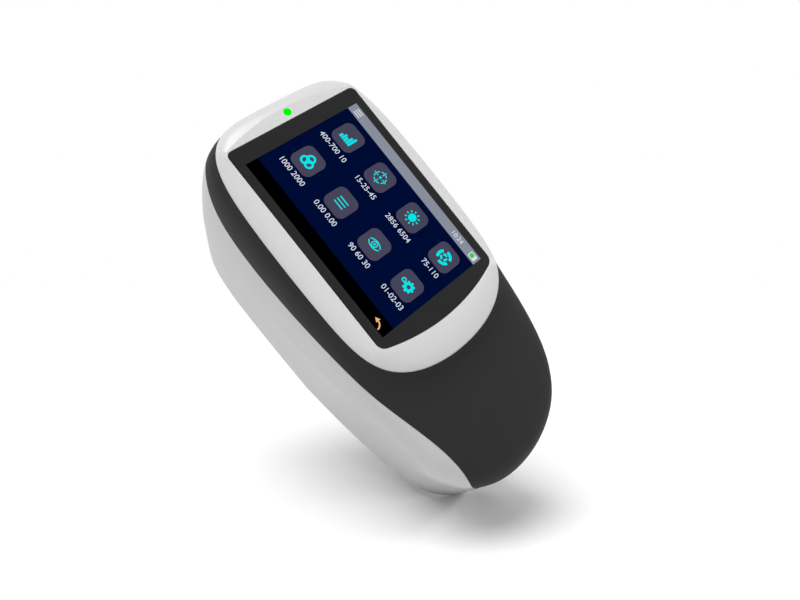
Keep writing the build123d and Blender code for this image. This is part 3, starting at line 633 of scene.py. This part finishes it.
# What the display shows: thin inlays that stand a few hundredths of a millimetre above the glass
screenSet = dict(
    halfLength=36.72,
    halfWidth=24.48,
    statusLow=20.4,
    barHigh=-19.6,
    sunk=0.05,
    tile=10.2,
    tileRadius=2.7,
    columns=(-27.0, -8.6, 9.9, 28.1),
    rows=(12.75, -5.6),
    labelRows=(5.5, -12.8),
    labelSize=3.0,
    weld=0.002,
    gloss=0.0,
    rough=0.15,
    roughSpread=0.02,
    shade=0.12,
    grainScale=6000,
)
# How far each layer stands above the glass
layerSet = dict(ground=0.02, mark=0.03, top=0.04, numberDepth=0.02)
screenColors = dict(
    field=(0.0, 0.0035, 0.033),
    status=(0.25, 0.27, 0.33),
    bar=(0.0, 0.0, 0.0),
    tile=(0.062, 0.058, 0.098),
    icon=(0.0, 0.8, 0.82),
    label=(0.72, 0.75, 0.85),
    battery=(0.05, 0.6, 0.08),
    arrow=(0.86, 0.45, 0.2),
)


def screenFinish(name, color):
    # Lit, and black where nothing is lit
    material, tree = newMaterial("screen_" + name)
    nodes, links = tree.nodes, tree.links
    shader = nodes.new("ShaderNodeBsdfPrincipled")
    output = nodes.new("ShaderNodeOutputMaterial")
    links.new(shader.outputs["BSDF"], output.inputs["Surface"])
    surface = nodes.new("ShaderNodeGroup")
    surface.node_tree = mouldedGrain
    surface.inputs["Color"].default_value = tuple(color) + (1,)
    surface.inputs["Shade Spread"].default_value = screenSet["shade"]
    surface.inputs["Grain Scale"].default_value = screenSet["grainScale"]
    surface.inputs["Roughness"].default_value = screenSet["rough"]
    surface.inputs["Roughness Spread"].default_value = screenSet["roughSpread"]
    links.new(surface.outputs["Color"], shader.inputs["Emission Color"])
    links.new(surface.outputs["Roughness"], shader.inputs["Roughness"])
    shader.inputs["Base Color"].default_value = (0, 0, 0, 1)
    shader.inputs["Emission Strength"].default_value = 1.0
    shader.inputs["Specular IOR Level"].default_value = screenSet["gloss"]
    return material


screenFinishes = {name: screenFinish(name, color) for name, color in screenColors.items()}


def box(left, low, right, high):
    return [[(left, low), (right, low), (right, high), (left, high)]]


def roundBox(centre, width, height, radius):
    x, y = centre
    points = []
    for signX, signY, start in ((1, 1, 0), (-1, 1, 90), (-1, -1, 180), (1, -1, 270)):
        middle = (x + signX * (width / 2 - radius), y + signY * (height / 2 - radius))
        points += arcPoints(middle, radius, start, start + 90, 8)
    return [points]


def disc(centre, radius, steps=28):
    return [arcPoints(centre, radius, 0, 360 - 360 / steps, steps - 1)]


def ring(centre, outer, inner, start=0, end=360, steps=28):
    big = arcPoints(centre, outer, start, end, steps)
    small = arcPoints(centre, inner, start, end, steps)
    return [[big[k], big[k + 1], small[k + 1], small[k]] for k in range(steps)]


def ray(centre, angle, near, far, width):
    turn = math.radians(angle)
    along = (math.cos(turn), math.sin(turn))
    side = (-along[1] * width / 2, along[0] * width / 2)
    points = []
    for reach, sign in ((near, -1), (far, -1), (far, 1), (near, 1)):
        x = centre[0] + along[0] * reach + sign * side[0]
        points.append((x, centre[1] + along[1] * reach + sign * side[1]))
    return [points]


def inlay(name, polygons, top, color):
    shape = bmesh.new()
    for polygon in polygons:
        shape.faces.new([shape.verts.new(onFace(x, y, -top)) for x, y in polygon])
    bmesh.ops.remove_doubles(shape, verts=shape.verts, dist=screenSet["weld"] * mm)
    bmesh.ops.recalc_face_normals(shape, faces=shape.faces)
    grown = bmesh.ops.extrude_face_region(shape, geom=list(shape.faces))
    low = [item for item in grown["geom"] if isinstance(item, bmesh.types.BMVert)]
    sink = onFace(0, 0, screenSet["sunk"]) - onFace(0, 0, -top)
    bmesh.ops.translate(shape, verts=low, vec=sink)
    bmesh.ops.recalc_face_normals(shape, faces=shape.faces)
    mesh = bpy.data.meshes.new(name)
    shape.to_mesh(mesh)
    shape.free()
    return addPiece(name, mesh, "body", screenFinishes[color])


def numberPiece(name, text, size, middle, top, color):
    # Plain numbers, turned into a mesh
    curve = bpy.data.curves.new(name, "FONT")
    curve.body = text
    curve.size = size * mm
    curve.align_x = "CENTER"
    curve.align_y = "CENTER"
    curve.extrude = layerSet["numberDepth"] * mm
    curve.resolution_u = 3
    holder = bpy.data.objects.new(name, curve)
    bpy.context.scene.collection.objects.link(holder)
    bpy.context.view_layer.update()
    mesh = bpy.data.meshes.new_from_object(holder)
    bpy.data.objects.remove(holder)
    mesh.transform(Matrix.Translation(Vector((middle[0], middle[1], top)) * mm))
    mesh.transform(faceMatrix)
    return addPiece(name, mesh, "body", screenFinishes[color])


def gear(centre, outer, root, hole, teeth):
    points = []
    for tooth in range(teeth):
        for offset, radius in ((-0.5, root), (-0.22, outer), (0.22, outer), (0.5, root)):
            points.append((360 / teeth * (tooth + offset * 0.8), radius))
    faces = []
    for k, (angle, radius) in enumerate(points):
        after, afterRadius = points[(k + 1) % len(points)]
        if k == len(points) - 1:
            after += 360
        corners = []
        for turn, reach in ((angle, radius), (after, afterRadius), (after, hole), (angle, hole)):
            turn = math.radians(turn)
            corners.append((centre[0] + reach * math.cos(turn), centre[1] + reach * math.sin(turn)))
        faces.append(corners)
    return faces


def icons():
    upper, lower = screenSet["rows"]
    first, second, third, fourth = screenSet["columns"]
    shapes = []
    for k, height in enumerate((1.6, 2.6, 2.1, 3.4, 4.4)):
        left = first - 2.7 + 1.12 * k
        shapes += box(left, upper - 2.3, left + 0.9, upper - 2.3 + height)
    for start in range(0, 360, 45):
        shapes += ring((second, upper), 2.5, 2.1, start + 8, start + 37, 4)
    for angle in range(0, 360, 90):
        shapes += ray((second, upper), angle, 1.1, 3.1, 0.35)
    shapes += disc((second, upper), 0.5, 16)
    shapes += disc((third, upper), 1.6)
    for angle in range(0, 360, 36):
        shapes += ray((third, upper), angle, 2.1, 2.9, 0.5)
    for start in (20, 140, 260):
        shapes += ring((fourth, upper), 3.0, 1.9, start, start + 85, 10)
        shapes += ring((fourth, upper), 1.5, 0.7, start + 45, start + 130, 8)
    for angle in (90, 210, 330):
        turn = math.radians(angle)
        shapes += ring((first + 1.25 * math.cos(turn), lower + 1.25 * math.sin(turn)), 1.75, 1.0)
    shapes += disc((first, lower), 0.7, 16)
    for k in (-1, 0, 1):
        shapes += box(second - 2.2, lower + 1.4 * k - 0.22, second + 2.2, lower + 1.4 * k + 0.22)
    for sign in (-1, 1):
        middle = (third, lower + sign * 2.2)
        shapes += ring(middle, 3.9, 3.5, -sign * 90 - 46, -sign * 90 + 46, 14)
    shapes += ring((third, lower), 1.3, 0.9, 0, 360, 20)
    shapes += disc((third, lower), 0.45, 14)
    shapes += gear((fourth + 0.7, lower), 2.3, 1.75, 0.8, 8)
    shapes += ring((fourth - 2.3, lower + 0.5), 0.95, 0.5, 0, 360, 16)
    return shapes


def makeScreen():
    long, wide = screenSet["halfLength"], screenSet["halfWidth"]
    status, bar = screenSet["statusLow"], screenSet["barHigh"]
    inlay("screenField", box(-long, bar, long, status), layerSet["ground"], "field")
    inlay("screenStatus", box(-long, status, long, wide), layerSet["ground"], "status")
    inlay("screenBar", box(-long, -wide, long, bar), layerSet["ground"], "bar")
    tiles = []
    for x in screenSet["columns"]:
        for y in screenSet["rows"]:
            tiles += roundBox((x, y), screenSet["tile"], screenSet["tile"], screenSet["tileRadius"])
    inlay("screenTiles", tiles, layerSet["mark"], "tile")
    inlay("screenIcons", icons(), layerSet["top"], "icon")
    cell = (34.2, 22.4)
    inlay("screenBatteryFrame", roundBox(cell, 3.3, 2.5, 0.2), layerSet["mark"], "label")
    charge = box(cell[0] - 1.3, cell[1] - 0.9, cell[0] + 0.5, cell[1] + 0.9)
    inlay("screenBattery", charge, layerSet["top"], "battery")
    lines = [box(-34.6, low, -31.4, low + 0.4)[0] for low in (21.3, 22.3, 23.3)]
    inlay("screenMenu", lines, layerSet["mark"], "label")
    arrow = ring((31.4, -24.3), 2.5, 1.95, 5, 88, 10)
    arrow += [[(31.5, -21.1), (31.5, -23.0), (29.8, -22.05)]]
    inlay("screenReturn", arrow, layerSet["mark"], "arrow")
    numberPiece("screenClock", "10:24", 2.7, (25.2, 22.4), layerSet["top"], "label")
    labels = (
        ("400-700 10", "15-25-45", "2856 6504", "75-110"),
        ("1000 2000", "0.00 0.00", "90 60 30", "01-02-03"),
    )
    size, top = screenSet["labelSize"], layerSet["top"]
    for row, (y, texts) in enumerate(zip(screenSet["labelRows"], labels)):
        for column, (x, text) in enumerate(zip(screenSet["columns"], texts)):
            numberPiece(f"screenLabel{row}{column}", text, size, (x, y), top, "label")


makeScreen()
print("screen made")

for name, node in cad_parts.items():
    slot = node.data.materials[0].name.split(".")[0] if node.data.materials else "housing"
    node.data.materials.clear()
    node.data.materials.append(finishes[slot])
print("frame dressed")
